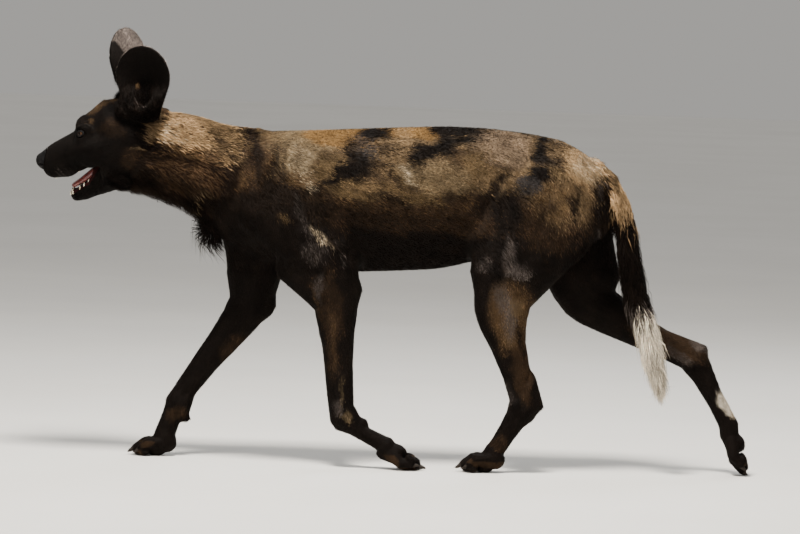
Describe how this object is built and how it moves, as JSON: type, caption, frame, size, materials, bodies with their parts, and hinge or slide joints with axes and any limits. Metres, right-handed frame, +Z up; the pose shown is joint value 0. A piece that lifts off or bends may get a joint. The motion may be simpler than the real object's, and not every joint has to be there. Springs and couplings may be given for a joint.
{
  "type": "african wild dog",
  "caption": "African wild dog at a walk, with round cupped ears, open mouth, lean deep-chested body, long legs and hanging white-tipped brush tail, as a still life-size model.",
  "frame": {"origin": "centre of the footprint box, on the floor plane that the paws stand on", "axes": "-X is the way the animal walks and faces, -Y its left side, +Z up"},
  "size_m": [1.4152, 0.186, 0.8378],
  "materials": {
    "body_coat": "short mottled coat in black, brown and tan",
    "neck_coat": "longer neck fur, tan above and black below",
    "face_fur": "very short black-brown face fur",
    "jaw_fur": "short black fur with bare dark lips and pale teeth",
    "ear_fur": "short dark fur on thin ear leather",
    "leg_coat": "short smooth leg fur, black and tan",
    "paw_fur": "short paw fur with dark pads and claws",
    "tail_base_fur": "orange-tan long fur",
    "tail_black_fur": "long black brush fur",
    "tail_white_fur": "long off-white brush fur",
    "nose_skin": "damp grained black nose skin",
    "eye_surface": "glossy dark brown glass eye",
    "tongue_surface": "moist pink-red"
  },
  "bodies": {
    "root": {"ear_left": "ear_fur", "ear_right": "ear_fur", "eye_left": "eye_surface", "eye_right": "eye_surface", "forearm_left": "leg_coat", "forearm_right": "leg_coat", "forepaw_left": "paw_fur", "forepaw_right": "paw_fur", "head": "face_fur", "hindpaw_left": "paw_fur", "hindpaw_right": "paw_fur", "lower_jaw": "jaw_fur", "metatarsus_left": "leg_coat", "metatarsus_right": "leg_coat", "neck": "neck_coat", "nose": "nose_skin", "pastern_left": "leg_coat", "pastern_right": "leg_coat", "shank_left": "leg_coat", "shank_right": "leg_coat", "tail_middle": "tail_black_fur", "tail_root": "tail_base_fur", "tail_tip": "tail_white_fur", "tongue": "tongue_surface", "torso": "body_coat"}
  },
  "joints": []
}
